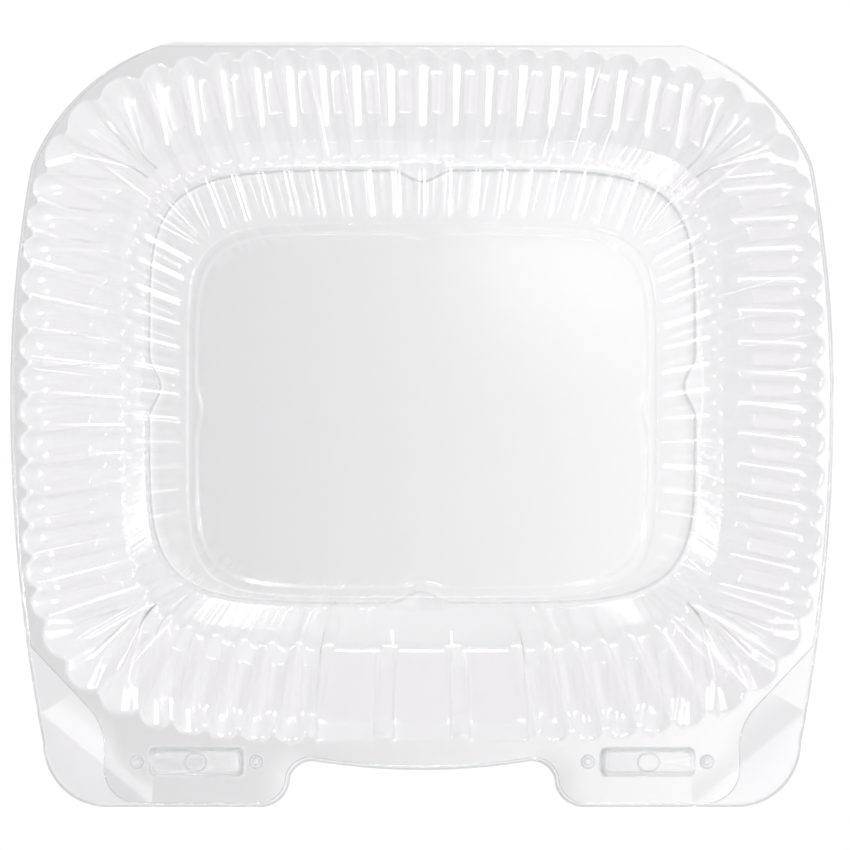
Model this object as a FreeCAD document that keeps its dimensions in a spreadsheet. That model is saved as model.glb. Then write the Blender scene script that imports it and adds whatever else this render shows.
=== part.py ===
"""Hinged clear plastic clamshell pack: a fluted tray, and a fluted domed lid on a folding back edge."""

import FreeCAD, Part
import Sketcher

import copy
import math
import os

Vector = FreeCAD.Vector

# Driving dimensions in millimetres: alias, value and meaning
SIZES = (
    ("sheet_wall", 0.4, "thickness of the formed sheet"),
    ("closing_gap", 0.3, "gap between the two flanges when the pack is shut"),
    ("nesting_gap", 0.3, "clearance between a lid catch and the tray catch inside it"),
    ("rim_half_width", 114.5, "flute crests at the flange, to the side"),
    ("rim_half_depth", 99.2, "flute crests at the flange, to the back and front"),
    ("tray_depth", 38.0, "foot to the top of the tray's flange"),
    ("ledge_inset", 26.8, "flange crests to the ledge half way down the tray"),
    ("ledge_drop", 16.5, "flange to that ledge"),
    ("lower_inset", 28.4, "flange crests to the top of the lower flutes"),
    ("lower_drop", 20.5, "flange to the top of the lower flutes"),
    ("heel_inset", 40.6, "flange crests to the lower ends of the lower flutes"),
    ("heel_rise", 2.6, "foot to the lower ends of the lower flutes"),
    ("foot_inset", 42.2, "flange crests to the outer edge of the foot"),
    ("foot_width", 3.9, "width of the foot ring"),
    ("floor_rise", 1.5, "floor panel above the foot"),
    ("floor_slope", 1.3, "run of the slope between foot ring and floor panel"),
    ("lid_rise", 35.0, "lid flange to the top of the stacking ring"),
    ("brow_inset", 6.0, "flange crests to the brow, where the lid wall leans in"),
    ("brow_rise", 8.0, "lid flange to the brow"),
    ("shoulder_inset", 26.0, "flange crests to the upper ends of the lid flutes"),
    ("shoulder_rise", 21.0, "lid flange to the upper ends of the lid flutes"),
    ("ring_inset", 38.4, "flange crests to the stacking ring"),
    ("ring_slope", 1.6, "run of the slope inside the stacking ring"),
    ("plateau_sink", 1.6, "lid panel below the top of the stacking ring"),
    ("notch_depth", 3.0, "inward step of the stacking ring half way along each side"),
    ("notch_half_length", 8.5, "half the length of that step"),
    ("floor_notch_depth", 1.5, "the same step on the floor panel"),
    ("rim_flute_depth", 2.4, "height of a flute over its valleys, at the flange"),
    ("brow_flute_depth", 2.2, "the same at the brow"),
    ("ledge_flute_depth", 1.2, "the same at the tray's ledge"),
    ("lower_flute_depth", 1.5, "the same on the lower tray wall"),
    ("flute_end_lag", 3.4, "how far the valleys stop short of a flute's round end"),
    ("back_flutes", 17, "flutes along the back"),
    ("side_flutes", 14, "flutes along each side"),
    ("corner_flutes", 3, "flutes round each corner"),
    ("front_flutes", 5, "flutes on each side of the front panels"),
    ("front_panels", 3, "wide panels in the middle of the front"),
    ("panel_share", 2.25, "width of a front panel in flutes"),
    ("valley_share", 0.2, "part of the flute pitch that is valley"),
    ("flank_share", 0.22, "part of the flute pitch that each flank takes"),
    ("panel_flank", 0.05, "part of a panel's width that each flank takes"),
    ("back_margin", 1.6, "flute crests to the back edge of the tray's flange"),
    ("side_margin", 3.4, "flute crests to the widest point of the flange"),
    ("corner_margin", 2.2, "flute crests to the flange edge at the back corners"),
    ("lid_edge_inset", 0.8, "lid flange edge inside the tray's flange edge"),
    ("hinge_half_length", 75.0, "half the length of the folding back edge"),
    ("hinge_radius", 0.6, "radius of the folding bead"),
    ("hinge_gap", 0.3, "bead to the back edge of the lid"),
    ("bend_share", 0.4, "place on a back corner where the flange edge's bend is set"),
    ("front_margin", 7.7, "flute crests to the flange edge between the tabs"),
    ("front_bow", 2.4, "how far the edge between the tabs bows out in its middle"),
    ("tab_margin", 18.6, "flute crests to the front edge of the tabs"),
    ("tab_taper", 9.4, "how far the sides close in towards the tabs"),
    ("tab_corner", 18.0, "size of the outer corner of a tab"),
    ("tab_inner_half", 38.0, "middle of the front to the inner side of a tab"),
    ("tab_inner_corner", 8.0, "size of the round inner corners of a tab"),
    ("finger_cut_start", 27.0, "tab corner back to where the lid is cut away, along the side"),
    ("finger_cut_width", 16.5, "tab corner in to the lid's cut edge"),
    ("finger_cut_corner", 10.0, "size of the bends in the lid's cut edge"),
    ("catch_offset", 64.4, "middle of the pack to the middle of a catch"),
    ("catch_setback", 13.1, "front edge of the tabs to the middle of a catch"),
    ("catch_length", 26.0, "length of a tray catch at its foot"),
    ("catch_width", 7.2, "width of a tray catch at its foot"),
    ("catch_height", 2.6, "height of a tray catch over its flange"),
    ("catch_draft", 0.6, "how far the walls of a catch lean in"),
    ("catch_nub_length", 5.4, "length of the nub in the middle of a lid catch"),
    ("catch_nub_width", 4.2, "width of that nub"),
    ("catch_nub_height", 0.7, "height of that nub"),
    ("catch_corner", 1.0, "size of the cut corners of a tray catch"),
    ("stud_offset", 17.0, "middle of a catch to the middle of a stud"),
    ("stud_radius", 1.4, "radius of a tray stud at its foot"),
    ("stud_height", 1.0, "height of a tray stud over its flange"),
    ("stud_draft", 0.3, "how far the wall of a stud leans in"),
)

# Corner shape of each outline: the power of its superellipse, and the part
# of the half width and of the half depth that the straight flute rows take
SHAPES = {
    "rim": (4.2, 0.713, 0.655),
    "brow": (4.0, 0.724, 0.687),
    "shoulder": (5.0, 0.815, 0.79),
    "ring": (5.5, 0.87, 0.84),
    "ledge": (5.0, 0.82, 0.80),
    "heel": (6.0, 0.86, 0.83),
    "foot": (6.0, 0.868, 0.837),
    "floor": (6.0, 0.82, 0.79),
}


def fill_sheet(doc):
    """Writes the driving dimensions into the document's spreadsheet."""
    sheet = doc.addObject("Spreadsheet::Sheet", "Sizes")
    for row, (alias, value, meaning) in enumerate(SIZES, start=1):
        sheet.set(f"A{row}", meaning)
        sheet.set(f"B{row}", str(value))
        sheet.setAlias(f"B{row}", alias)
    doc.recompute()
    return sheet


doc = FreeCAD.newDocument("clamshell_pack")
sheet = fill_sheet(doc)


def size(alias):
    """One driving dimension, as a number."""
    return float(sheet.get(alias))


class Outline:
    """A closed outline seen from above: a superellipse with fluted straight rows and round corners."""

    def __init__(self, inset, shape):
        self.half_width = size("rim_half_width") - inset
        self.half_depth = size("rim_half_depth") - inset
        self.power, share_x, share_y = SHAPES[shape]
        self.run_x = share_x * self.half_width
        self.run_y = share_y * self.half_depth

    def depth_at(self, x):
        left = 1.0 - abs(x / self.half_width) ** self.power
        return self.half_depth * left ** (1.0 / self.power)

    def width_at(self, y):
        left = 1.0 - abs(y / self.half_depth) ** self.power
        return self.half_width * left ** (1.0 / self.power)

    def corner_at(self, share):
        """Point on the right back corner: share 0 at the back row's end, 1 at the side row's."""
        start = math.atan2(self.depth_at(self.run_x), self.run_x)
        end = math.atan2(self.run_y, self.width_at(self.run_y))
        turn = start + (end - start) * share
        across = abs(math.cos(turn) / self.half_width) ** self.power
        along = abs(math.sin(turn) / self.half_depth) ** self.power
        reach = (across + along) ** (-1.0 / self.power)
        return Vector(reach * math.cos(turn), reach * math.sin(turn), 0)

    def point(self, side, share):
        """Point of one side. Rows run from -1 to 1 and corners from 0 to 1, clockwise from the back."""
        if side == "back":
            return Vector(share * self.run_x, self.depth_at(share * self.run_x), 0)
        if side == "right":
            return Vector(self.width_at(share * self.run_y), -share * self.run_y, 0)
        if side == "front":
            return Vector(-share * self.run_x, -self.depth_at(share * self.run_x), 0)
        if side == "left":
            return Vector(-self.width_at(share * self.run_y), share * self.run_y, 0)
        if side == "back right":
            return self.corner_at(share)
        if side == "front right":
            corner = self.corner_at(1.0 - share)
            return Vector(corner.x, -corner.y, 0)
        if side == "front left":
            return self.corner_at(share) * -1.0
        corner = self.corner_at(1.0 - share)
        return Vector(-corner.x, corner.y, 0)

    def outward(self, point):
        """Unit vector that points out of the outline at one of its points."""
        slope = self.power - 1.0
        x = abs(point.x / self.half_width) ** slope / self.half_width
        y = abs(point.y / self.half_depth) ** slope / self.half_depth
        return Vector(math.copysign(x, point.x), math.copysign(y, point.y), 0).normalize()


class Station:
    """A place on every outline: its side and share, how high a flute stands there, and its count."""

    def __init__(self, side, share, lift, count, panel):
        self.side = side
        self.share = share
        self.lift = lift
        self.count = count
        self.panel = panel


def side_cells():
    """The sides in order, each with the widths of its flutes and panels."""
    corner = [1.0] * int(size("corner_flutes"))
    row = [1.0] * int(size("side_flutes"))
    half_front = [1.0] * int(size("front_flutes"))
    panels = [size("panel_share")] * int(size("front_panels"))
    return (
        ("back", [1.0] * int(size("back_flutes"))),
        ("back right", corner),
        ("right", row),
        ("front right", corner),
        ("front", half_front + panels + half_front),
        ("front left", corner),
        ("left", row),
        ("back left", corner),
    )


def flute_marks(width):
    """Share across the cell and lift, for each fold of one flute or panel."""
    if width > 1.0:
        valley = size("valley_share") / width
        flank = size("panel_flank")
        inner = valley / 2 + flank
        third = (1.0 - 2 * inner) / 3
        crest = [(inner + step * third, 1.0) for step in range(4)]
    else:
        valley = size("valley_share")
        inner = valley / 2 + size("flank_share")
        crest = [(inner, 1.0), (1.0 - inner, 1.0)]
    return [(valley / 2, 0.0)] + crest + [(1.0 - valley / 2, 0.0)]


def smooth_marks(width):
    """Shares across the cell where the plain outlines have their points."""
    steps = 4 if width > 1.0 else 2
    return [(step / steps, 0.0) for step in range(steps)]


def make_stations(marks):
    """Every station round the pack, for flutes or for plain outlines."""
    stations = []
    before = 0.0
    for side, cells in side_cells():
        done = 0.0
        corner = " " in side
        for width in cells:
            for mark, lift in marks(width):
                share = (done + mark * width) / sum(cells)
                place = share if corner else 2.0 * share - 1.0
                count = before + done + mark * width
                stations.append(Station(side, place, lift, count, width > 1.0))
            done += width
        before += done
    return stations


FLUTE_STATIONS = make_stations(flute_marks)
SMOOTH_STATIONS = make_stations(smooth_marks)


class Level:
    """One fold line of a shell: its inset, height and shape, and how deep its flutes are."""

    def __init__(self, inset, height, shape, flutes=0.0, notch=0.0, fade=False, plain_panels=False):
        self.inset = inset
        self.height = height
        self.shape = shape
        self.flutes = flutes
        self.notch = notch
        self.fade = fade
        self.plain_panels = plain_panels

        self.inward = 0.0
        self.upward = 0.0

    def moved(self, inward, upward):
        """The same fold line on the other face of the sheet."""
        level = copy.copy(self)
        level.inward = inward
        level.upward = upward
        return level


def notch_at(point, depth):
    """Inward step of an outline near the middle of a side."""
    off_middle = min(abs(point.x), abs(point.y))
    share = off_middle / size("notch_half_length")
    if share >= 1.0:
        return 0.0
    return depth * 0.5 * (1.0 + math.cos(math.pi * share))


def make_row(level, following):
    """Points of one fold line, each with its count round the pack."""
    outline = Outline(level.inset, level.shape)
    fluted = level.flutes > 0.0 or level.fade
    ahead = Outline(following.inset, following.shape) if fluted else None
    row = []
    for station in FLUTE_STATIONS if fluted else SMOOTH_STATIONS:
        point = outline.point(station.side, station.share)
        point.z = level.height
        in_valley = fluted and station.lift == 0.0 and not (level.plain_panels and station.panel)
        if in_valley:
            onward = ahead.point(station.side, station.share)
            onward.z = following.height
            onward = onward - point
            if level.fade:
                point = point - onward * (size("flute_end_lag") / onward.Length)
            else:
                onward.z = 0.0
                point = point + onward * (level.flutes / onward.Length)
        point = point - outline.outward(point) * (notch_at(point, level.notch) + level.inward)
        point.z += level.upward
        row.append((station.count, point))
    return row


def offset_levels(levels, side):
    """The same fold lines one wall thickness inside, mitred: side is 1 under a lid and -1 in a tray."""
    wall = size("sheet_wall")
    first = levels[0]
    last = levels[-1]
    track = [(first.inset - 1.0, first.height)]
    track += [(level.inset, level.height) for level in levels]
    track.append((last.inset + 1.0, last.height))
    inner = []
    for before, here, after, level in zip(track, track[1:], track[2:], levels):
        normals = []
        for start, end in ((before, here), (here, after)):
            run = end[0] - start[0]
            rise = end[1] - start[1]
            length = math.hypot(run, rise)
            normals.append((side * rise / length, -side * run / length))
        (ax, az), (bx, bz) = normals
        scale = wall / (1.0 + ax * bx + az * bz)
        inner.append(level.moved(scale * (ax + bx), scale * (az + bz)))
    return inner


def triangle(first, second, third):
    return Part.Face(Part.makePolygon([first, second, third, first]))


def strip(row, other):
    """Faces between two rows, zipped along their counts."""
    cells = sum(sum(widths) for side, widths in side_cells())
    upper = row + [(row[0][0] + cells, row[0][1])]
    lower = other + [(other[0][0] + cells, other[0][1])]
    faces = []
    i = 0
    j = 0
    while i < len(row) or j < len(other):
        if j == len(other) or (i < len(row) and upper[i + 1][0] <= lower[j + 1][0]):
            faces.append(triangle(upper[i][1], upper[i + 1][1], lower[j][1]))
            i += 1
        else:
            faces.append(triangle(upper[i][1], lower[j + 1][1], lower[j][1]))
            j += 1
    return faces


def ring_wire(row):
    points = [point for count, point in row]
    return Part.makePolygon(points + points[:1])


def skin(levels):
    """Faces of one side of the sheet, with its first and last fold line."""
    rows = [make_row(level, following) for level, following in zip(levels, levels[1:] + [None])]
    faces = []
    for row, other in zip(rows, rows[1:]):
        faces += strip(row, other)
    faces.append(Part.Face(ring_wire(rows[-1])))
    return faces, ring_wire(rows[0])


def make_sheet(levels, side, edge):
    """A formed sheet: two fluted skins, joined by the flange and its cut edge."""
    inner_levels = offset_levels(levels, side)
    outer_faces, outer_root = skin(levels)
    inner_faces, inner_root = skin(inner_levels)
    outer_height = levels[0].height
    inner_height = levels[0].height + inner_levels[0].upward
    outer_edge = edge.translated(Vector(0, 0, outer_height))
    inner_edge = edge.translated(Vector(0, 0, inner_height))
    faces = outer_faces + inner_faces
    faces.append(Part.makeFace([outer_edge, outer_root], "Part::FaceMakerBullseye"))
    faces.append(Part.makeFace([inner_edge, inner_root], "Part::FaceMakerBullseye"))
    faces += outer_edge.extrude(Vector(0, 0, inner_height - outer_height)).Faces
    shell = Part.makeShell(faces)
    shell.sewShape()
    solid = Part.makeSolid(shell)
    if solid.Volume < 0:
        solid.reverse()
    return solid


def round_mid(start, corner, end):
    """Middle point of a round bend that leaves start towards corner and comes to end."""
    middle = (start + end) * 0.5
    return middle + (corner - middle) * (math.sqrt(2.0) - 1.0)


def arc_radius(top, end):
    """Radius of the arc that leaves top straight along the depth and comes to end."""
    run = top.x - end.x
    rise = end.y - top.y
    return (run * run + rise * rise) / (2.0 * run)


def side_point(top, end, y):
    """Point of that arc at one place along the depth."""
    radius = arc_radius(top, end)
    return Vector(top.x - radius + math.sqrt(radius * radius - y * y), y, 0)


def side_arc(top, end):
    """That arc, as an edge."""
    radius = arc_radius(top, end)
    middle = side_point(top, end, radius * math.sin(0.5 * math.asin(end.y / radius)))
    return Part.Arc(top, middle, end).toShape()


def mirrored(edges):
    """The edges with their mirror image on the left, as one closed wire."""
    left = [edge.mirror(Vector(0, 0, 0), Vector(1, 0, 0)) for edge in edges]
    return Part.Wire(Part.__sortEdges__(edges + left))


def bend(start, corner, end):
    """Round bend that leaves start towards corner and comes to end."""
    return Part.Arc(start, round_mid(start, corner, end), end).toShape()


def flange_edge(inset, back, finger_cut):
    """The cut edge of a flange at height 0, from the folding back edge round to the tabs."""
    rim = Outline(0.0, "rim")
    corner_margin = size("corner_margin") - inset
    widest = Vector(rim.half_width + size("side_margin") - inset, 0, 0)
    front = -(rim.half_depth + size("front_margin") - inset)
    tab = -(rim.half_depth + size("tab_margin") - inset)
    hinge_end = Vector(size("hinge_half_length"), back, 0)
    back_bend = rim.corner_at(size("bend_share"))
    back_bend = back_bend + rim.outward(back_bend) * corner_margin
    shoulder = rim.point("right", -1.0)
    shoulder = shoulder + rim.outward(shoulder) * corner_margin
    corner = size("tab_corner")
    tab_side = Vector(widest.x - size("tab_taper"), tab + corner, 0)
    tab_tip = Vector(tab_side.x, tab, 0)
    inner = size("tab_inner_corner")
    inner_x = size("tab_inner_half") + inset
    tab_turn = Vector(inner_x + inner, tab, 0)
    tab_root = Vector(inner_x, tab + inner, 0)
    front_turn = Vector(inner_x - inner, front + size("front_bow"), 0)
    front_quarter = Vector(front_turn.x / 2, front + size("front_bow") / 4, 0)
    edges = [
        Part.makeLine(Vector(0, back, 0), hinge_end),
        Part.Arc(hinge_end, back_bend, shoulder).toShape(),
        side_arc(widest, shoulder),
        bend(tab_turn, Vector(inner_x, tab, 0), tab_root),
        bend(tab_root, Vector(inner_x, front_turn.y, 0), front_turn),
        Part.Arc(front_turn, front_quarter, Vector(0, front, 0)).toShape(),
    ]
    if finger_cut:
        cut = finger_cut_edges(widest, tab_side, tab_tip)
        edges += cut + [Part.makeLine(cut[-1].Vertexes[-1].Point, tab_turn)]
    else:
        tab_end = Vector(tab_side.x - corner, tab, 0)
        edges += [side_arc(widest, tab_side), bend(tab_side, tab_tip, tab_end)]
        edges.append(Part.makeLine(tab_end, tab_turn))
    return mirrored(edges)


def finger_cut_edges(widest, tab_side, tab_tip):
    """Edge of the lid round the tab corner that it leaves free for a finger."""
    start = side_point(widest, tab_side, tab_side.y + size("finger_cut_start"))
    turn = size("finger_cut_corner")
    cut_x = tab_tip.x - size("finger_cut_width")
    slant_end = Vector(cut_x + turn / 2, tab_side.y + turn, 0)
    straight_start = Vector(cut_x, tab_side.y, 0)
    straight_end = Vector(cut_x, tab_tip.y + turn, 0)
    end = Vector(cut_x - turn, tab_tip.y, 0)
    return [
        side_arc(widest, start),
        Part.makeLine(start, slant_end),
        bend(slant_end, Vector(cut_x, tab_side.y + turn / 2, 0), straight_start),
        Part.makeLine(straight_start, straight_end),
        bend(straight_end, Vector(cut_x, tab_tip.y, 0), end),
    ]


def tray_levels():
    """Fold lines of the tray's outside, from the flange down to the floor panel."""
    top = size("tray_depth")
    foot_inner = size("foot_inset") + size("foot_width")
    notch = size("floor_notch_depth")
    return [
        Level(0.0, top - size("sheet_wall"), "rim", size("rim_flute_depth")),
        Level(size("ledge_inset"), top - size("ledge_drop"), "ledge", size("ledge_flute_depth")),
        Level(
            size("lower_inset"),
            top - size("lower_drop"),
            "ledge",
            size("lower_flute_depth"),
            plain_panels=True,
        ),
        Level(size("heel_inset"), size("heel_rise"), "heel", fade=True, plain_panels=True),
        Level(size("foot_inset"), 0.0, "foot"),
        Level(foot_inner, 0.0, "floor", notch=notch),
        Level(foot_inner + size("floor_slope"), size("floor_rise"), "floor", notch=notch),
    ]


def lid_levels():
    """Fold lines of the lid's outside, from the flange up to the sunk top panel."""
    flange = size("tray_depth") + size("closing_gap")
    notch = size("notch_depth")
    ring_top = flange + size("lid_rise")
    return [
        Level(0.0, flange + size("sheet_wall"), "rim", size("rim_flute_depth")),
        Level(size("brow_inset"), flange + size("brow_rise"), "brow", size("brow_flute_depth")),
        Level(size("shoulder_inset"), flange + size("shoulder_rise"), "shoulder", fade=True),
        Level(size("ring_inset"), ring_top, "ring", notch=notch),
        Level(
            size("ring_inset") + size("ring_slope"),
            ring_top - size("plateau_sink"),
            "ring",
            notch=notch,
        ),
    ]


def bind(item, rules):
    """Ties properties of a document object to the driving dimensions."""
    for path, rule in rules.items():
        item.setExpression(path, rule)


def add_sheet(name, levels, side, edge):
    """One formed sheet with its flutes and flange, without bead and catches."""
    feature = doc.addObject("Part::Feature", name)
    feature.Shape = make_sheet(levels, side, edge)
    return feature


def add_block(name, length, width, height, draft, corner):
    """A raised block, centred on its foot, with leaning sides and cut corners."""
    body = doc.addObject("PartDesign::Body", name)
    plane = next(item for item in body.Origin.OriginFeatures if item.Role == "XY_Plane")
    foot = body.newObject("Sketcher::SketchObject", name + "_foot")
    foot.AttachmentSupport = (plane, [""])
    foot.MapMode = "FlatFace"
    corners = [Vector(-1, -1, 0), Vector(1, -1, 0), Vector(1, 1, 0), Vector(-1, 1, 0)]
    for start, end in zip(corners, corners[1:] + corners[:1]):
        foot.addGeometry(Part.LineSegment(start, end))
    for line in range(4):
        foot.addConstraint(Sketcher.Constraint("Coincident", line, 2, (line + 1) % 4, 1))
    foot.addConstraint(Sketcher.Constraint("Horizontal", 0))
    foot.addConstraint(Sketcher.Constraint("Vertical", 1))
    foot.addConstraint(Sketcher.Constraint("Horizontal", 2))
    foot.addConstraint(Sketcher.Constraint("Vertical", 3))
    foot.addConstraint(Sketcher.Constraint("Symmetric", 0, 1, 2, 1, -1, 1))
    long_side = foot.addConstraint(Sketcher.Constraint("DistanceX", 0, 1, 0, 2, 2.0))
    short_side = foot.addConstraint(Sketcher.Constraint("DistanceY", 1, 1, 1, 2, 2.0))
    bind(foot, {f"Constraints[{long_side}]": length, f"Constraints[{short_side}]": width})
    rise = body.newObject("PartDesign::Pad", name + "_rise")
    rise.Profile = foot
    bind(rise, {"Length": height, "TaperAngle": f"-atan(({draft}) / ({height}))"})
    doc.recompute()
    upright = [
        f"Edge{number}"
        for number, edge in enumerate(rise.Shape.Edges, start=1)
        if edge.BoundBox.ZLength > 0.5 * rise.Shape.BoundBox.ZLength
    ]
    cut_corners = body.newObject("PartDesign::Chamfer", name + "_corners")
    cut_corners.Base = (rise, upright)
    bind(cut_corners, {"Size": corner})
    return body


def add_stud(name, side, radius, height):
    """A low round stud, with a leaning wall, to one side of a catch."""
    stud = doc.addObject("Part::Cone", name)
    bind(
        stud,
        {
            "Radius1": radius,
            "Radius2": f"{radius} - Sizes.stud_draft",
            "Height": height,
            "Placement.Base.x": f"{side} * Sizes.stud_offset",
        },
    )
    return stud


def add_pair(name, parts, foot_height):
    """The given raised parts at their place on the right tab, and the same again on the left."""
    right = doc.addObject("Part::MultiFuse", name + "_right")
    right.Shapes = parts
    bind(
        right,
        {
            "Placement.Base.x": "Sizes.catch_offset",
            "Placement.Base.y": "Sizes.catch_setback - Sizes.rim_half_depth - Sizes.tab_margin",
            "Placement.Base.z": foot_height,
        },
    )
    left = doc.addObject("Part::Mirroring", name + "_left")
    left.Source = right
    left.Normal = Vector(1, 0, 0)
    return [right, left]


def add_catches(name, foot_height, grown, cover, with_nub):
    """Both catches with their studs, grown sideways and covered on top by the given amounts."""
    parts = [
        add_block(
            name + "_block",
            f"Sizes.catch_length + 2 * {grown}",
            f"Sizes.catch_width + 2 * {grown}",
            f"Sizes.catch_height + {cover}",
            "Sizes.catch_draft",
            "Sizes.catch_corner",
        )
    ]
    for side in (-1, 1):
        stud_name = f"{name}_stud_{'inner' if side < 0 else 'outer'}"
        radius = f"Sizes.stud_radius + {grown}"
        parts.append(add_stud(stud_name, side, radius, f"Sizes.stud_height + {cover}"))
    if with_nub:
        parts.append(
            add_block(
                name + "_nub",
                f"Sizes.catch_nub_length + 2 * {grown}",
                f"Sizes.catch_nub_width + 2 * {grown}",
                f"Sizes.catch_height + Sizes.catch_nub_height + {cover}",
                "Sizes.catch_draft",
                "Sizes.catch_corner",
            )
        )
    return add_pair(name, parts, foot_height)


def add_piece(label, solids, hollows):
    """A finished sheet: its solids joined, its catches hollowed, and set on the pack's own origin."""
    joined = doc.addObject("Part::MultiFuse", label + "_joined")
    joined.Shapes = solids
    joined.Refine = False
    hollow = doc.addObject("Part::MultiFuse", label + "_hollow")
    hollow.Shapes = hollows
    piece = doc.addObject("Part::Cut", label)
    piece.Base = joined
    piece.Tool = hollow
    piece.Refine = False
    piece.Label = label
    shift = "(Sizes.tab_margin - Sizes.back_margin - Sizes.hinge_radius) / 2"
    bind(piece, {"Placement.Base.y": shift})
    return piece


def add_bead():
    """The bead along the folding back edge, on which the lid turns."""
    bead = doc.addObject("Part::Cylinder", "hinge_bead")
    bead.Placement.Rotation = FreeCAD.Rotation(Vector(0, 1, 0), 90)
    bind(
        bead,
        {
            "Radius": "Sizes.hinge_radius",
            "Height": "2 * Sizes.hinge_half_length",
            "Placement.Base.x": "-Sizes.hinge_half_length",
            "Placement.Base.y": "Sizes.rim_half_depth + Sizes.back_margin",
            "Placement.Base.z": "Sizes.tray_depth + Sizes.closing_gap / 2",
        },
    )
    return bead


def make_tray():
    back = size("rim_half_depth") + size("back_margin")
    sheet_feature = add_sheet("tray_sheet", tray_levels(), -1, flange_edge(0.0, back, False))
    foot_height = "Sizes.tray_depth - Sizes.sheet_wall"
    catches = add_catches("tray_catch", foot_height, "0", "Sizes.sheet_wall", False)
    hollows = add_catches("tray_catch_hollow", foot_height, "(-Sizes.sheet_wall)", "0", False)
    return add_piece("tray", [sheet_feature, add_bead()] + catches, hollows)


def make_lid():
    back = size("rim_half_depth") + size("back_margin") - size("hinge_radius") - size("hinge_gap")
    edge = flange_edge(size("lid_edge_inset"), back, True)
    sheet_feature = add_sheet("lid_sheet", lid_levels(), 1, edge)
    foot_height = "Sizes.tray_depth + Sizes.closing_gap"
    grown = "(Sizes.nesting_gap + Sizes.sheet_wall)"
    catches = add_catches("lid_catch", foot_height, grown, "Sizes.sheet_wall", True)
    hollows = add_catches("lid_catch_hollow", foot_height, "Sizes.nesting_gap", "0", False)
    return add_piece("lid", [sheet_feature] + catches, hollows)


def check(pieces):
    """Stops if an object has failed, or if a piece is not one closed, valid solid."""
    doc.recompute()
    for item in doc.Objects:
        if "Invalid" in item.State or "Error" in item.State:
            raise RuntimeError(f"{item.Name} failed: {item.State}")
    for piece in pieces:
        shape = piece.Shape
        if shape.isNull() or not shape.isValid() or len(shape.Solids) != 1:
            raise RuntimeError(f"{piece.Label} is not one valid solid")
        print(f"{piece.Label}: {shape.Volume:.0f} cubic mm, {len(shape.Faces)} faces, {shape.BoundBox}")


def write(pieces):
    os.makedirs("parts", exist_ok=True)
    for piece in pieces:
        piece.Shape.exportStep(f"parts/{piece.Label}.step")


pieces = [make_tray(), make_lid()]
check(pieces)
write(pieces)
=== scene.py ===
"""Clear hinged clamshell pack: two fluted shells, the folding edge between them, and a pale stage."""

import math

import bmesh
import bpy
from mathutils import Matrix, Vector


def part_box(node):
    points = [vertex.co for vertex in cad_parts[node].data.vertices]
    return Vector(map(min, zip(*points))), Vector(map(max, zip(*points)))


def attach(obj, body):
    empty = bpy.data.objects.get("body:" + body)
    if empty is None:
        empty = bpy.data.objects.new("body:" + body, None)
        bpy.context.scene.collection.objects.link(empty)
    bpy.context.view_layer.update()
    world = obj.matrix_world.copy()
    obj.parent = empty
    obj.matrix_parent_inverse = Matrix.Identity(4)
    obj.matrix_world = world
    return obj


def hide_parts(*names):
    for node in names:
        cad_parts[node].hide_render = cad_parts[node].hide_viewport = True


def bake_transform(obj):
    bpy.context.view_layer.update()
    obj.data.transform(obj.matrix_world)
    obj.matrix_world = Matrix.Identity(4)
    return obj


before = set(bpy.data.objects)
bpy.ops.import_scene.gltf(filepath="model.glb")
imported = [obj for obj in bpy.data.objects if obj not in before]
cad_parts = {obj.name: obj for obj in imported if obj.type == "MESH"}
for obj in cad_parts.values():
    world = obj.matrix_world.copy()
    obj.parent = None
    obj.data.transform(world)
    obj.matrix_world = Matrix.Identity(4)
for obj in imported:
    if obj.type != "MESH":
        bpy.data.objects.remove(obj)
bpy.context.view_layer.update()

bl_info = {
    "name": "Clamshell Pack",
    "version": (1, 0, 0),
    "blender": (4, 5, 0),
    "location": "View3D > Sidebar > Clamshell Pack",
    "description": "Builds a clear hinged clamshell pack with fluted walls, and a pale stage for it",
    "category": "Add Mesh",
}

TRAY_LOW, TRAY_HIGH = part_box("tray")
LID_LOW, LID_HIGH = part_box("lid")
MM = 0.001

# Corner shape of each outline: the power of its superellipse, and the part
# of the half width and of the half depth that the straight flute rows take
SHAPES = {
    "rim": (4.2, 0.713, 0.655),
    "brow": (4.0, 0.742, 0.691),
    "shoulder": (5.0, 0.865, 0.824),
    "ring": (5.5, 0.86, 0.83),
    "ledge": (5.0, 0.79, 0.77),
    "heel": (6.0, 0.87, 0.85),
    "foot": (6.0, 0.87, 0.85),
    "floor": (6.0, 0.86, 0.84),
}


def length(name, description, default):
    """A size in metres that the user may change."""
    return bpy.props.FloatProperty(
        name=name, description=description, default=default, precision=5, unit="LENGTH"
    )


def share(name, description, default):
    """A share from 0 to 1 that the user may change."""
    return bpy.props.FloatProperty(
        name=name, description=description, default=default, min=0.0, max=1.0, subtype="FACTOR"
    )


def count(name, description, default):
    """A whole number of flutes or panels that the user may change."""
    return bpy.props.IntProperty(name=name, description=description, default=default, min=1)


def colour(name, description, default):
    """A colour that the user may change."""
    return bpy.props.FloatVectorProperty(
        name=name, description=description, default=default, size=3, min=0.0, max=1.0, subtype="COLOR"
    )


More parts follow.
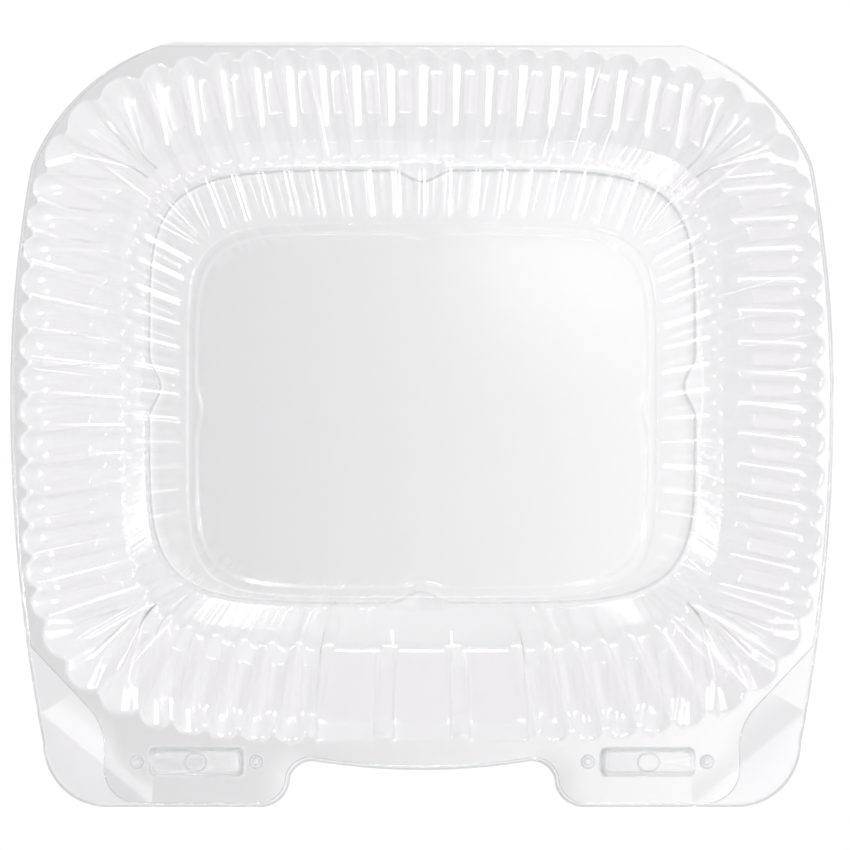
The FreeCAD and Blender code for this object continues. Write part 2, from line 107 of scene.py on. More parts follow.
class PackSizes(bpy.types.PropertyGroup):
    """Sizes of both shells, in metres."""

    wall: length("Sheet", "Thickness of the formed sheet", 0.4 * MM)
    rim_half_width: length("Rim half width", "Middle of the pack to the flute crests at the side", 114.5 * MM)
    rim_half_depth: length("Rim half depth", "Middle of the rim to the flute crests at the back", 99.2 * MM)
    rim_centre: length("Rim centre", "Place of the rim's centre from front to back", 8.2 * MM)
    tray_flange: length("Tray flange", "Height of the top of the tray's flange", LID_LOW.z - 0.3 * MM)
    lid_flange: length("Lid flange", "Height of the underside of the lid's flange", LID_LOW.z)
    lid_top: length("Lid top", "Height of the stacking ring", LID_HIGH.z)
    rim_flutes: length("Rim flute depth", "Height of a flute over its valleys at the flange", 2.4 * MM)
    brow_flutes: length("Brow flute depth", "The same where the lid wall leans in", 2.2 * MM)
    ledge_flutes: length("Ledge flute depth", "The same at the tray's ledge", 1.8 * MM)
    lower_flutes: length("Lower flute depth", "The same on the lower tray wall", 2.1 * MM)
    lid_flute_end: length("Lid flute end", "How far the lid's valleys stop short of a flute's end", 8.5 * MM)
    tray_flute_end: length("Tray flute end", "The same on the lower tray wall", 3.4 * MM)
    notch: length("Ring notch", "Inward step of the stacking ring half way along a side", 3.0 * MM)
    floor_notch: length("Floor notch", "The same step on the floor panel", 1.5 * MM)
    notch_half_length: length("Notch half length", "Half the length of that step", 8.5 * MM)
    hinge_half_length: length("Fold half length", "Half the length of the folding edge", 75.0 * MM)
    hinge_set_back: length("Fold set back", "Folding line to the flange edges", 0.9 * MM)
    valley: share("Valley", "Part of the flute pitch that is valley", 0.14)
    narrowing: share("Narrowing", "How much narrower the lid flutes are above the brow", 0.3)
    back_flutes: count("Back flutes", "Flutes along the back", 17)
    side_flutes: count("Side flutes", "Flutes along each side", 14)
    corner_flutes: count("Corner flutes", "Flutes round each corner", 3)
    front_flutes: count("Front flutes", "Flutes on each side of the front panels", 5)
    front_panels: count("Front panels", "Wide panels in the middle of the front", 3)


class PackFinish(bpy.types.PropertyGroup):
    """Colours and gloss of the clear sheet and of the stage."""

    clear_tint: colour("Clear tint", "What the sheet lets through face on", (0.984, 0.985, 0.985))
    # Tray tint: partly the sheet's own grey cast, partly painted shade for the shade under the pack that the shells
    # do not cast
    tray_tint_and_shade: colour("Tray tint", "The same for the tray, which has a cool grey cast", (0.926, 0.93, 0.931))
    # Cut edge grey: painted shade, drawn as dark lines on the cut edge and on steep catch and ring walls
    cut_edge_and_wall_shade: colour("Cut edge", "What the sheet lets through along its cut edge", (0.8, 0.82, 0.82))
    # Glancing tint: partly the longer path through the sheet, partly painted shade for the darker surroundings that
    # a steep wall shows
    glancing_tint_and_shade: colour("Edge tint", "What the sheet lets through at a glancing angle", (0.72, 0.735, 0.735))
    roughness: share("Roughness", "Roughness of the sheet's surface", 0.16)
    floor_colour: colour("Floor", "Colour of the floor", (0.82, 0.82, 0.82))


def sizes():
    return bpy.context.scene.pack_sizes


def finish():
    return bpy.context.scene.pack_finish


class Outline:
    """A closed outline seen from above: a superellipse with straight rows and round corners."""

    def __init__(self, inset, shape, deeper=0.0):
        self.half_width = sizes().rim_half_width - inset
        self.half_depth = sizes().rim_half_depth - inset + deeper
        self.power, share_x, share_y = SHAPES[shape]
        self.run_x = share_x * self.half_width
        self.run_y = share_y * self.half_depth

    def depth_at(self, x):
        left = 1.0 - abs(x / self.half_width) ** self.power
        return self.half_depth * left ** (1.0 / self.power)

    def width_at(self, y):
        left = 1.0 - abs(y / self.half_depth) ** self.power
        return self.half_width * left ** (1.0 / self.power)

    def corner_at(self, part):
        """Point on the right back corner: part 0 at the back row's end, 1 at the side row's."""
        start = math.atan2(self.depth_at(self.run_x), self.run_x)
        end = math.atan2(self.run_y, self.width_at(self.run_y))
        turn = start + (end - start) * part
        across = abs(math.cos(turn) / self.half_width) ** self.power
        along = abs(math.sin(turn) / self.half_depth) ** self.power
        reach = (across + along) ** (-1.0 / self.power)
        return Vector((reach * math.cos(turn), reach * math.sin(turn), 0))

    def point(self, side, part):
        """Point of one side. Rows run from -1 to 1 and corners from 0 to 1, clockwise from the back."""
        if side == "back":
            return Vector((part * self.run_x, self.depth_at(part * self.run_x), 0))
        if side == "right":
            return Vector((self.width_at(part * self.run_y), -part * self.run_y, 0))
        if side == "front":
            return Vector((-part * self.run_x, -self.depth_at(part * self.run_x), 0))
        if side == "left":
            return Vector((-self.width_at(part * self.run_y), part * self.run_y, 0))
        if side == "back right":
            return self.corner_at(part)
        if side == "front right":
            corner = self.corner_at(1.0 - part)
            return Vector((corner.x, -corner.y, 0))
        if side == "front left":
            return -self.corner_at(part)
        corner = self.corner_at(1.0 - part)
        return Vector((-corner.x, corner.y, 0))

    def outward(self, point):
        """Unit vector that points out of the outline at one of its points."""
        slope = self.power - 1.0
        x = abs(point.x / self.half_width) ** slope / self.half_width
        y = abs(point.y / self.half_depth) ** slope / self.half_depth
        return Vector((math.copysign(x, point.x), math.copysign(y, point.y), 0)).normalized()


class Station:
    """A place on every outline: its side and share, and how far it stands out of the valleys."""

    def __init__(self, side, part, middle, lift, panel):
        self.side = side
        self.part = part
        self.middle = middle
        self.lift = lift
        self.panel = panel


# Points across a flute, and how flat its crest is
FLUTE_STEPS = 12
FLUTE_SQUARENESS = 2.6
# Width of a front panel in flutes, and the parts of it that are flank and valley
PANEL_WIDTH = 2.25
PANEL_FLANK = 0.06
PANEL_VALLEY = 0.2
PANEL_STEPS = 6


def flute_marks():
    """Share across a flute, and lift, at each of its points: a valley, then a round crest."""
    half = 0.5 * (1.0 - sizes().valley)
    marks = [(0.0, 0.0)]
    for step in range(FLUTE_STEPS + 1):
        turn = math.pi * (step / FLUTE_STEPS - 0.5)
        marks.append((0.5 + half * math.sin(turn), 1.0 - abs(math.sin(turn)) ** FLUTE_SQUARENESS))
    return marks


def panel_marks():
    """The same for a wide panel: a valley, a steep round flank, a flat face and a flank."""
    edge = 0.5 * PANEL_VALLEY
    marks = [(0.0, 0.0)]
    for step in range(PANEL_STEPS + 1):
        turn = 0.5 * math.pi * step / PANEL_STEPS
        marks.append((edge + PANEL_FLANK * (1.0 - math.cos(turn)), math.sin(turn)))
    inner = edge + PANEL_FLANK
    face = [(inner + (1.0 - 2.0 * inner) * step / PANEL_STEPS, 1.0) for step in range(1, PANEL_STEPS)]
    return marks + face + [(1.0 - place, lift) for place, lift in reversed(marks[1:])]


def make_stations():
    """Every station round the pack, clockwise from the left end of the back."""
    shape = sizes()
    corner = [1.0] * shape.corner_flutes
    row = [1.0] * shape.side_flutes
    half_front = [1.0] * shape.front_flutes
    panels = [PANEL_WIDTH] * shape.front_panels
    cells = (
        ("back", [1.0] * shape.back_flutes),
        ("back right", corner),
        ("right", row),
        ("front right", corner),
        ("front", half_front + panels + half_front),
        ("front left", corner),
        ("left", row),
        ("back left", corner),
    )
    stations = []
    for side, widths in cells:
        done = 0.0
        for width in widths:
            wide = width > 1.0
            for mark, lift in panel_marks() if wide else flute_marks():
                middle = mark if wide or mark == 0.0 else 0.5
                places = [(done + spot * width) / sum(widths) for spot in (mark, middle)]
                if " " not in side:
                    places = [2.0 * place - 1.0 for place in places]
                stations.append(Station(side, *places, lift, wide))
            done += width
    return stations


class Level:
    """One fold line of a shell, round the middle of the rim.

    flutes: how far the valleys are sunk inwards here
    fade: how far short of this line the valleys end
    narrow: how far each flute has closed in on its middle
    soft: how far the bend reaches from the fold
    notch: depth of the inward step half way along each side
    deeper: added to the outline's half depth
    forward: how far the line stands to the front of the rim's middle
    plain: the wide front panels have no valleys here
    """

    def __init__(
        self, inset, height, shape, flutes=0.0, fade=0.0, narrow=0.0, soft=0.0, notch=0.0, deeper=0.0,
        forward=0.0, plain=False,
    ):
        self.outline = Outline(inset, shape, deeper)
        self.height = height
        self.flutes = flutes
        self.fade = fade
        self.narrow = narrow
        self.soft = soft
        self.notch = notch
        self.forward = forward
        self.plain = plain

    def point(self, station):
        """Place of a station on this line, before its flute is sunk."""
        part = station.part + (station.middle - station.part) * self.narrow
        point = self.outline.point(station.side, part)
        point.z = self.height
        return point


def notch_at(point, depth):
    """Inward step of an outline near the middle of a side."""
    part = min(abs(point.x), abs(point.y)) / sizes().notch_half_length
    if part >= 1.0:
        return 0.0
    return depth * 0.5 * (1.0 + math.cos(math.pi * part))


def way_back(before, level, following, station):
    """Direction in which a valley ends short: back along its flute, on the slope of the wall that follows."""
    point = level.point(station)
    onward = following.point(station) - point
    run = -onward.dot(level.outline.outward(point))
    back = before.point(station) - point
    back.z = 0.0
    return (back.normalized() * run - Vector((0, 0, onward.z))).normalized()


def fold_points(levels, stations):
    """For each fold line, its points at every station."""
    rings = []
    for before, level, following in zip([None] + levels, levels, levels[1:] + [None]):
        middle = Vector((0, sizes().rim_centre - level.forward, 0))
        ring = []
        for station in stations:
            point = level.point(station)
            sunk = 0.0 if level.plain and station.panel else 1.0 - station.lift
            if level.fade:
                point += way_back(before, level, following, station) * (level.fade * sunk)
            elif level.flutes:
                point -= level.outline.outward(point) * (level.flutes * sunk)
            point -= level.outline.outward(point) * notch_at(point, level.notch)
            ring.append(point + middle)
        rings.append(ring)
    return rings


def soften(rings, softness, steps):
    """Rings of a lofted wall with each fold rounded: softness is how far a bend reaches from its fold."""
    out = [[] for _ in range(2 + (len(rings) - 2) * (steps + 1))]
    for chain in zip(*rings):
        row = 0
        out[row].append(chain[0])
        for before, fold, after, soft in zip(chain, chain[1:], chain[2:], softness[1:]):
            back = before - fold
            on = after - fold
            start = fold + back.normalized() * min(soft, back.length * (0.9 if row == 0 else 0.45))
            end = fold + on.normalized() * min(soft, on.length * 0.45)
            for step in range(steps + 1):
                part = step / steps
                row += 1
                out[row].append(start.lerp(fold, part).lerp(fold.lerp(end, part), part))
        out[row + 1].append(chain[-1])
    return out


# Marks on the points of a band: its open end, its capped end, the sheet's cut edge and a raised form
OPEN_RING = 1
CLOSED_RING = 2
CUT_RING = 3
BOSS_RING = 4
WELD = 1e-7
BEND_STEPS = 4
BOX_CORNER_STEPS = 6


def add_band(bm, rings, capped, kind=0):
    """A closed band of quads through rings of points, made as a grid and bent round."""
    around = len(rings[0])
    layer = bm.verts.layers.int["ring"]
    grid = bmesh.ops.create_grid(bm, x_segments=around, y_segments=len(rings) - 1, size=1.0)
    marks = {}
    for vert in grid["verts"]:
        column = round((vert.co.x + 1.0) / 2.0 * around)
        row = round((vert.co.y + 1.0) / 2.0 * (len(rings) - 1))
        marks[vert] = (column / around, row / len(rings))
        vert.co = rings[row][column % around]
        if row == 0:
            vert[layer] = OPEN_RING
        elif row == len(rings) - 1 and capped:
            vert[layer] = CLOSED_RING
        elif row >= len(rings) - 2 and not capped:
            vert[layer] = CUT_RING
        else:
            vert[layer] = kind
    along = bm.loops.layers.uv["along"]
    for face in {face for vert in grid["verts"] for face in vert.link_faces}:
        for loop in face.loops:
            loop[along].uv = marks[loop.vert]
    bmesh.ops.remove_doubles(bm, verts=grid["verts"], dist=WELD)


def ring_edges(bm, kind):
    """Open edges whose two ends carry one mark."""
    layer = bm.verts.layers.int["ring"]
    return [e for e in bm.edges if e.is_boundary and all(v[layer] == kind for v in e.verts)]


def rounded_box(centre, half_length, half_width, corner, height):
    """Ring of points: a rectangle with round corners, seen from above."""
    points = []
    corner = min(corner, half_width, half_length)
    for quarter in range(4):
        x = (half_length - corner) * (1 if quarter in (0, 3) else -1)
        y = (half_width - corner) * (1 if quarter < 2 else -1)
        for step in range(BOX_CORNER_STEPS + 1):
            turn = 0.5 * math.pi * (quarter + step / BOX_CORNER_STEPS)
            x_turn = centre.x + x + corner * math.cos(turn)
            y_turn = centre.y + y + corner * math.sin(turn)
            points.append(Vector((x_turn, y_turn, height)))
    return points


class Catch:
    """Places and sizes of the snap catch and studs on a tab, for one skin of the sheet."""

    offset = 64.4 * MM
    setback = 12.8 * MM
    half_length = 13.0 * MM
    half_width = 3.6 * MM
    height = 2.6 * MM
    draft = 0.6 * MM
    corner = 1.4 * MM
    nub_half_length = 2.7 * MM
    nub_half_width = 2.1 * MM
    nub_height = 0.7 * MM
    stud_offset = 17.0 * MM
    stud_radius = 1.4 * MM
    stud_height = 1.0 * MM

    def __init__(self, grown, base, nub):
        self.grown = grown
        self.base = base
        self.nub = nub

    def bosses(self):
        """Rings of each raised form on both tabs."""
        out = []
        y = sizes().rim_centre - sizes().rim_half_depth - FLANGE["tab_margin"] + self.setback
        for side in (-1, 1):
            middle = Vector((side * self.offset, y, 0))
            out.append(self.block(middle))
            for way in (-1, 1):
                out.append(self.stud(middle + Vector((way * self.stud_offset, 0, 0))))
        return out

    def block(self, middle):
        """Rings of the long block of the catch, with its round nub on top if it has one."""
        foot_x = self.half_length + self.grown
        foot_y = self.half_width + self.grown
        corner = self.corner + self.grown
        top = self.base + self.height
        stages = [(0.5 * MM, self.base, 0.0), (0.0, self.base, 0.3 * MM), (-self.draft, top, 0.5 * MM)]
        rings = [rounded_box(middle, foot_x + g, foot_y + g, corner, z) for g, z, soft in stages]
        softness = [soft for g, z, soft in stages]
        if self.nub:
            nub_x = self.nub_half_length + self.grown
            nub_y = self.nub_half_width + self.grown
            rings.append(rounded_box(middle, nub_x, nub_y, nub_y, top))
            rings.append(rounded_box(middle, nub_x - 0.4 * MM, nub_y - 0.4 * MM, nub_y, top + self.nub_height))
            softness += [0.25 * MM, 0.25 * MM]
            inner = (nub_x - 1.2 * MM, nub_y - 1.2 * MM, top + self.nub_height)
        else:
            inner = (foot_x - self.draft - 1.5 * MM, foot_y - self.draft - 1.5 * MM, top)
        rings.append(rounded_box(middle, inner[0], inner[1], inner[1], inner[2]))
        softness.append(0.0)
        return soften(rings, softness, BEND_STEPS)

    def stud(self, middle):
        """Rings of one round stud beside the catch."""
        radius = self.stud_radius + self.grown
        top = self.base + self.stud_height
        stages = [(0.3 * MM, self.base), (0.0, self.base), (-0.25 * MM, top), (-radius + 0.3 * MM, top)]
        rings = [rounded_box(middle, radius + g, radius + g, radius + g, z) for g, z in stages]
        return soften(rings, [0.0, 0.2 * MM, 0.4 * MM, 0.0], BEND_STEPS)


# Margins and corners of the flanges, measured from the flute crests
FLANGE = {
    "back_margin": 1.6 * MM,
    "side_margin": 3.15 * MM,
    "corner_margin": 2.2 * MM,
    "bend_share": 0.4,
    "front_margin": 7.7 * MM,
    "front_bow": 2.4 * MM,
    "tab_margin": 18.3 * MM,
    "tab_taper": 9.4 * MM,
    "tab_corner": 18.0 * MM,
    "tab_inner_half": 38.0 * MM,
    "tab_inner_corner": 8.0 * MM,
    "finger_cut_start": 27.0 * MM,
    "finger_cut_width": 16.5 * MM,
    "finger_cut_corner": 10.0 * MM,
    "lid_edge_inset": 0.8 * MM,
}


def flat(x, y):
    """A point seen from above, at no height."""
    return Vector((x, y, 0))


def arc(start, middle, end):
    """Centre, radius, first angle and sweep of the arc through three points."""
    ax, ay = middle.x - start.x, middle.y - start.y
    bx, by = end.x - start.x, end.y - start.y
    cross = 2.0 * (ax * by - ay * bx)
    a2 = ax * ax + ay * ay
    b2 = bx * bx + by * by
    centre = start + flat((by * a2 - ay * b2) / cross, (ax * b2 - bx * a2) / cross)
    radius = (start - centre).length
    first = math.atan2(start.y - centre.y, start.x - centre.x)
    sweep = math.atan2(end.y - centre.y, end.x - centre.x) - first
    turn = 2.0 * math.pi
    sweep = sweep % turn if cross > 0 else -((-sweep) % turn)
    return centre, radius, first, sweep


def arc_points(start, middle, end, steps):
    """Points of the arc through three points, without its end."""
    centre, radius, first, sweep = arc(start, middle, end)
    turns = [first + sweep * step / steps for step in range(steps)]
    return [centre + flat(radius * math.cos(turn), radius * math.sin(turn)) for turn in turns]


def line_points(start, end, steps):
    """Points of a straight line, without its end."""
    return [start.lerp(end, step / steps) for step in range(steps)]


def bend_points(start, corner, end, steps):
    """Round bend that leaves start towards corner and comes to end."""
    middle = (start + end) * 0.5
    return arc_points(start, middle + (corner - middle) * (math.sqrt(2.0) - 1.0), end, steps)


def side_point(top, end, y):
    """Point of the arc that leaves top straight along the depth and comes to end."""
    run = top.x - end.x
    rise = end.y - top.y
    radius = (run * run + rise * rise) / (2.0 * run)
    return flat(top.x - radius + math.sqrt(radius * radius - y * y), y)


def edge_ring(inset, back, finger_cut, height):
    """The cut edge of a flange, moved in by inset, clockwise from the middle of the folding edge.

    The last number of each run of points is how many it has.
    """
    rim = Outline(0.0, "rim")
    size = FLANGE
    corner_margin = size["corner_margin"] - inset
    widest = flat(rim.half_width + size["side_margin"] - inset, 0)
    front = -(rim.half_depth + size["front_margin"] - inset)
    tab = -(rim.half_depth + size["tab_margin"] - inset)
    hinge_end = flat(sizes().hinge_half_length, back)
    back_bend = rim.corner_at(size["bend_share"])
    back_bend = back_bend + rim.outward(back_bend) * corner_margin
    shoulder = rim.point("right", -1.0)
    shoulder = shoulder + rim.outward(shoulder) * corner_margin
    corner = size["tab_corner"]
    tab_side = flat(widest.x - size["tab_taper"], tab + corner)
    tab_tip = flat(tab_side.x, tab)
    inner = size["tab_inner_corner"]
    inner_x = size["tab_inner_half"] + inset
    tab_turn = flat(inner_x + inner, tab)
    tab_root = flat(inner_x, tab + inner)
    front_turn = flat(inner_x - inner, front + size["front_bow"])
    middle = side_point(widest, shoulder, 0.5 * shoulder.y)
    points = line_points(flat(0, back), hinge_end, 50)
    points += arc_points(hinge_end, back_bend, shoulder, 50)
    points += arc_points(shoulder, middle, widest, 40)
    if finger_cut:
        turn = size["finger_cut_corner"]
        start = side_point(widest, tab_side, tab_side.y + size["finger_cut_start"])
        cut_x = tab_tip.x - size["finger_cut_width"]
        slant_end = flat(cut_x + turn / 2, tab_side.y + turn)
        straight_start = flat(cut_x, tab_side.y)
        straight_end = flat(cut_x, tab_tip.y + turn)
        end = flat(cut_x - turn, tab_tip.y)
        points += arc_points(widest, side_point(widest, tab_side, 0.5 * start.y), start, 40)
        points += line_points(start, slant_end, 12)
        points += bend_points(slant_end, flat(cut_x, tab_side.y + turn / 2), straight_start, 12)
        points += line_points(straight_start, straight_end, 8)
        points += bend_points(straight_end, flat(cut_x, tab_tip.y), end, 16)
        points += line_points(end, tab_turn, 20)
    else:
        tab_end = flat(tab_side.x - corner, tab)
        points += arc_points(widest, side_point(widest, tab_side, 0.5 * tab_side.y), tab_side, 56)
        points += bend_points(tab_side, tab_tip, tab_end, 24)
        points += line_points(tab_end, tab_turn, 28)
    points += bend_points(tab_turn, flat(inner_x, tab), tab_root, 14)
    points += bend_points(tab_root, flat(inner_x, front_turn.y), front_turn, 14)
    quarter = flat(front_turn.x / 2, front + size["front_bow"] / 4)
    points += arc_points(front_turn, quarter, flat(0, front), 24)
    right = [Vector((p.x, p.y, height)) for p in points]
    left = [Vector((-p.x, p.y, p.z)) for p in reversed(right[1:])]
    ring = right + [Vector((0, front, height))] + left
    shift = Vector((0, sizes().rim_centre, 0))
    return [point + shift for point in ring]


# The rings close up at the folding edge, and stay level as far as this past its ends
FOLD_SHARE = 0.15
FOLD_LEVEL = 6.0 * MM


def edge_band(finger_cut, height, stages):
    """Rings from just inside a flange's edge out to it. Each stage is an inset and a drop."""
    back = sizes().rim_half_depth + FLANGE["back_margin"] - sizes().hinge_set_back
    rings = []
    reach = FLANGE["lid_edge_inset"] if finger_cut else 0.0
    for inset, drop in stages:
        ring = edge_ring(reach + inset, back - inset * FOLD_SHARE, finger_cut, height)
        for point in ring:
            at_fold = abs(point.x) < sizes().hinge_half_length + FOLD_LEVEL and point.y > 0
            point.z -= 0.0 if at_fold else drop
        rings.append(ring)
    return rings


# How far the round root of the flutes reaches onto the flange, which is narrow at the back corners
BACK_ROOT = 0.3 * MM
CORNER_ROOT = 0.12 * MM
FRONT_ROOT = 1.2 * MM
ROOT_SUPPORT = 0.05 * MM


def root_reach(station):
    """Reach of the root at one station: it grows along the sides towards the front."""
    if station.side == "back":
        return BACK_ROOT
    if station.side.startswith("back"):
        return CORNER_ROOT
    if station.side in ("left", "right"):
        to_front = 1.0 + (station.part if station.side == "right" else -station.part)
        return CORNER_ROOT + (FRONT_ROOT - CORNER_ROOT) * min(to_front, 1.0)
    return FRONT_ROOT


def wall_rings(levels):
    """Every ring of a fluted wall, from its root on the flange to its middle panel."""
    stations = make_stations()
    folds = fold_points(levels, stations)
    rim = Outline(0.0, "rim")
    centre = Vector((0, sizes().rim_centre, 0))
    outward = [rim.outward(point - centre) for point in folds[0]]
    root = [
        point + way * root_reach(station)
        for point, way, station in zip(folds[0], outward, stations)
    ]
    support = [point + way * ROOT_SUPPORT for point, way in zip(root, outward)]
    return [support] + soften([root] + folds, [0.0] + [level.soft for level in levels], BEND_STEPS)


# The bent corner of each tray tab, for the right one: the ends of its line, and where the corner starts
CREASE_START = Vector((105.4, -85.5, 0)) * MM
CREASE_END = Vector((83.0, -104.2, 0)) * MM
CREASE_ZONE = Vector((70.0, -60.0, 0)) * MM
CREASE_HALF = 0.4 * MM
CREASE_RISE = 0.4 * MM
CREASE_DROP = 0.02


def in_tab_corner(vert, side):
    """Whether a point lies near the corner of the left (-1) or right (1) tab."""
    return vert.co.x * side > CREASE_ZONE.x and vert.co.y < CREASE_ZONE.y


def add_creases(bm):
    """A raised line across each tab corner, and the corner beyond it bent down a little."""
    for side in (-1, 1):
        start = Vector((side * CREASE_START.x, CREASE_START.y, 0))
        run = Vector((side * CREASE_END.x, CREASE_END.y, 0)) - start
        beyond = Vector((-run.y, run.x, 0)).normalized() * side
        for offset in (-CREASE_HALF, 0.0, CREASE_HALF):
            faces = [face for face in bm.faces if all(in_tab_corner(vert, side) for vert in face.verts)]
            parts = dict.fromkeys(part for face in faces for part in (face, *face.edges, *face.verts))
            place = start + beyond * offset
            bmesh.ops.bisect_plane(bm, geom=list(parts), dist=WELD, plane_co=place, plane_no=beyond)
        for vert in bm.verts:
            if not in_tab_corner(vert, side):
                continue
            past = (vert.co - start).dot(beyond)
            if abs(past) < 0.1 * CREASE_HALF:
                vert.co.z += CREASE_RISE
            elif past > CREASE_HALF:
                vert.co.z -= CREASE_DROP * (past - CREASE_HALF)


def close_flange_and_panel(bm):
    """Fills the flange between its edge, the wall and the raised forms, and caps each form."""
    bmesh.ops.triangle_fill(bm, use_beauty=True, edges=ring_edges(bm, OPEN_RING), normal=(0, 0, 1))
    bmesh.ops.holes_fill(bm, edges=ring_edges(bm, CLOSED_RING))
    along = bm.loops.layers.uv["along"]
    for face in bm.faces:
        if len(face.verts) != 4:
            for loop in face.loops:
                loop[along].uv = (0.0, 0.0)


# A catch's wall, and the stacking ring's, takes the painted edge shade where its normal rises less than this
STEEP = 0.75
SHEER = 0.4
RING_WALL = 1.5 * MM


def takes_edge_shade(face, layer):
    """Whether a face is the cut edge or a thin upright wall, which get a darker grey: painted shade for the dark
    lines these edges show.
    """
    kinds = {vert[layer] for vert in face.verts}
    if kinds == {CUT_RING}:
        return True
    if kinds == {BOSS_RING}:
        return abs(face.normal.z) < STEEP
    on_ring = face.calc_center_median().z > sizes().lid_top - RING_WALL
    return on_ring and abs(face.normal.z) < SHEER


def make_shell(name, body, levels, edges, catch, facing, node, tint):
    """One shell: fluted wall, flat flange with its edge and catches, and the wall's thickness."""
    bm = bmesh.new()
    bm.verts.layers.int.new("ring")
    bm.loops.layers.uv.new("along")
    add_band(bm, wall_rings(levels), True)
    add_band(bm, edges, False)
    for boss in catch.bosses():
        add_band(bm, boss, True, BOSS_RING)
    close_flange_and_panel(bm)
    if body == "base":
        add_creases(bm)
    bmesh.ops.recalc_face_normals(bm, faces=bm.faces[:])
    panel = max(bm.faces, key=lambda face: len(face.verts))
    if panel.normal.z * facing < 0:
        bmesh.ops.reverse_faces(bm, faces=bm.faces[:])
    layer = bm.verts.layers.int["ring"]
    # The cut edge and the steep walls take the second material, named cut edge, which is painted shade
    for face in bm.faces:
        face.material_index = 1 if takes_edge_shade(face, layer) else 0
    shell = sheet_piece(name, bm, [clear_sheet(name + " sheet", tint), clear_sheet("cut edge", finish().cut_edge_and_wall_shade)])
    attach(shell, body)
    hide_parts(node)


def sheet_piece(name, bm, materials):
    """The object of a skin, with its wall. Light passes through it to the floor."""
    for face in bm.faces:
        face.smooth = True
    mesh = bpy.data.meshes.new(name)
    bm.to_mesh(mesh)
    bm.free()
    piece = bpy.data.objects.new(name, mesh)
    bpy.context.scene.collection.objects.link(piece)
    for material in materials:
        piece.data.materials.append(material)
    add_wall(piece)
    # The sheets cast no shadow; the tray's darker tint paints part of that shade in instead
    piece.visible_shadow = False
    piece.visible_diffuse = False
    piece.visible_glossy = False
    return piece


SHARP_ANGLE = math.radians(60)


def add_wall(piece):
    """Gives a skin its thickness on the inner side, and keeps the cut edges crisp."""
    solid = piece.modifiers.new("wall", "SOLIDIFY")
    solid.thickness = sizes().wall
    solid.offset = -1.0
    # The rim along the cut edge takes the second material, the painted edge shade
    solid.material_offset_rim = 1
    bpy.context.view_layer.update()
    evaluated = piece.evaluated_get(bpy.context.evaluated_depsgraph_get())
    mesh = bpy.data.meshes.new_from_object(evaluated)
    piece.modifiers.clear()
    piece.data = mesh
    mesh.set_sharp_from_angle(angle=SHARP_ANGLE)


class Wire:
    """A shader socket that can be used in sums, products and powers."""

    def __init__(self, nodes, socket):
        self.nodes = nodes
        self.socket = socket

    def math(self, operation, first, second):
        return self.nodes.add("ShaderNodeMath", {"operation": operation}, {0: first, 1: second})

    def __add__(self, other):
        return self.math("ADD", self, other)

    __radd__ = __add__

    def __mul__(self, other):
        return self.math("MULTIPLY", self, other)

    __rmul__ = __mul__

    def __sub__(self, other):
        return self.math("SUBTRACT", self, other)

    def __rsub__(self, other):
        return self.math("SUBTRACT", other, self)

    def __pow__(self, other):
        return self.math("POWER", self, other)

    def clamped(self):
        return self.nodes.add("ShaderNodeClamp", None, {"Value": self})


class Nodes:
    """The node tree of a material or of the world, under construction."""

    def __init__(self, owner):
        owner.use_nodes = True
        self.tree = owner.node_tree
        self.tree.nodes.clear()

    def add(self, kind, settings=None, inputs=None, output=0):
        """Adds a node, sets it up, joins or fills its sockets, and returns one of its outputs."""
        node = self.tree.nodes.new(kind)
        for key, value in (settings or {}).items():
            setattr(node, key, value)
        for key, value in (inputs or {}).items():
            if isinstance(value, Wire):
                self.tree.links.new(value.socket, node.inputs[key])
            else:
                node.inputs[key].default_value = value
        return Wire(self, node.outputs[output]) if node.outputs else None


def opaque(rgb):
    return (rgb[0], rgb[1], rgb[2], 1.0)


# Share of mirror face on, and how late it and the grey tint rise towards a glancing angle; the grey tint is partly
# painted shade
FACE_ON_MIRROR = 0.05
MIRROR_POWER = 5.0
GREY_POWER = 3.0
# Faint wrinkles drawn out along the flutes: their count round and down a wall, contrast and depth
WISP_COUNT = (380.0, 5.0, 1.0)
WISP_CONTRAST = 4.0
WISP_CUT = 2.2
WISP_STRENGTH = 0.3
WISP_DEPTH = 0.5 * MM


